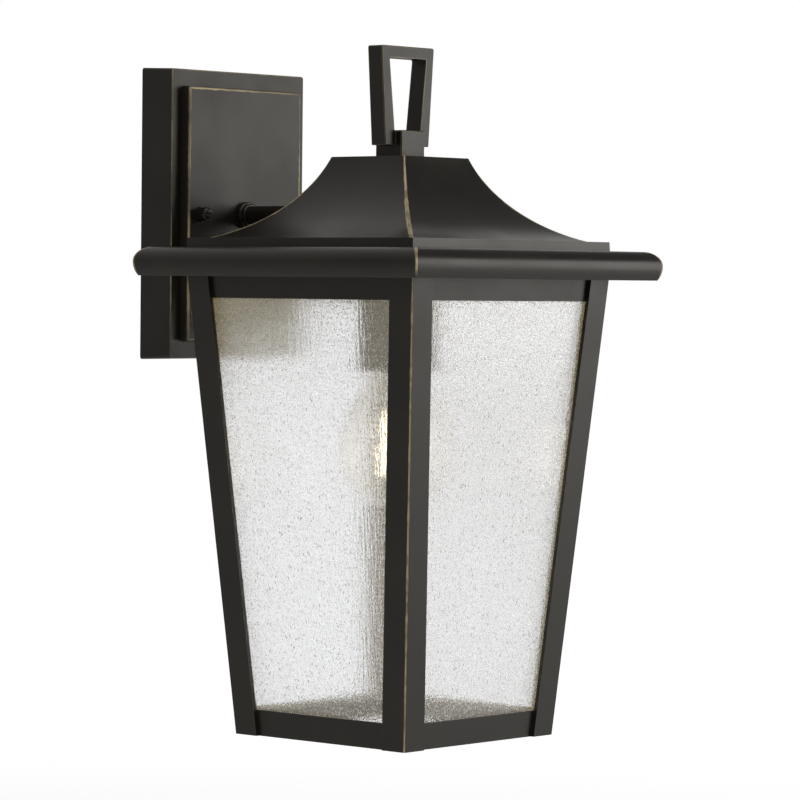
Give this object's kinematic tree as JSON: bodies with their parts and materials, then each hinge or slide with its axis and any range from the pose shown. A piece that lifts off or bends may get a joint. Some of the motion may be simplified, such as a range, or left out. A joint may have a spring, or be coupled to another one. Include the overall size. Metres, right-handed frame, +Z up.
{
  "type": "outdoor wall lantern",
  "caption": "Tapered square wall lantern with seeded glass sides, concave roof, bullnose eaves and a trapezoid finial loop, held off a rectangular backplate by a short straight arm.",
  "frame": {"origin": "middle of the backplate on the wall plane, between the two junction box slots", "axes": "+Y into the wall, -Y out into the open, +X to the right for someone facing the wall, +Z up"},
  "size_m": [0.2, 0.2414, 0.3663],
  "materials": {
    "aged_bronze": "dark bronze finish, satin, rubbed to pale gold along the edges",
    "seeded_glass": "clear glass full of fine seed bubbles",
    "zinc_steel": "zinc plated",
    "green_screw": "green earthing screw",
    "lamp_brass": "plain",
    "lamp_cap_metal": "rolled thread",
    "holder_ceramic": "white glaze",
    "bulb_glass": "clear thin blown",
    "bulb_stem_glass": "clear",
    "cap_insulator": "black glass insulator",
    "filament_wire": "fine wire"
  },
  "bodies": {
    "lantern": {"arm_collar": "aged_bronze", "arm_tube": "aged_bronze", "backplate_pan": "aged_bronze", "bottom_rail_back": "aged_bronze", "bottom_rail_front": "aged_bronze", "bottom_rail_left": "aged_bronze", "bottom_rail_right": "aged_bronze", "box_strap": "zinc_steel", "bridge_screws": "zinc_steel", "centre_rod": "zinc_steel", "finial_loop": "aged_bronze", "finial_stem": "aged_bronze", "fixture_screws": "zinc_steel", "ground_screw": "green_screw", "moulding_back": "aged_bronze", "moulding_front": "aged_bronze", "moulding_left": "aged_bronze", "moulding_right": "aged_bronze", "pane_back": "seeded_glass", "pane_front": "seeded_glass", "pane_left": "seeded_glass", "pane_right": "seeded_glass", "pipe_lock_nuts": "zinc_steel", "post_back_left": "aged_bronze", "post_back_right": "aged_bronze", "post_front_left": "aged_bronze", "post_front_right": "aged_bronze", "raised_plate": "aged_bronze", "roof_shell": "aged_bronze", "screw_lock_nuts": "zinc_steel", "socket_body": "holder_ceramic", "socket_bridge": "zinc_steel", "socket_contact": "lamp_brass", "socket_cup": "aged_bronze", "socket_shell": "lamp_brass", "strap_eyelet": "zinc_steel", "stud_bar": "zinc_steel", "top_rail_back": "aged_bronze", "top_rail_front": "aged_bronze", "top_rail_left": "aged_bronze", "top_rail_right": "aged_bronze"},
    "bulb": {"bulb_globe": "bulb_glass", "bulb_mount": "bulb_stem_glass", "bulb_filament": "filament_wire", "bulb_base": "lamp_cap_metal", "bulb_insulator": "cap_insulator", "bulb_tip": "lamp_brass"},
    "cap_nut_left": {"cap_nut_left": "aged_bronze"},
    "cap_nut_right": {"cap_nut_right": "aged_bronze"}
  },
  "joints": [
    {"name": "bulb_draw", "type": "slide", "parent": "lantern", "child": "bulb", "axis": [0, 0, -1], "range_m": [0, 0.24]},
    {"name": "cap_nut_left_turn", "type": "hinge", "parent": "lantern", "child": "cap_nut_left", "pos_m": [-0.03492, -0.031, 0], "axis": [0, -1, 0], "continuous": true},
    {"name": "cap_nut_right_turn", "type": "hinge", "parent": "lantern", "child": "cap_nut_right", "pos_m": [0.03492, -0.031, 0], "axis": [0, -1, 0], "continuous": true}
  ]
}
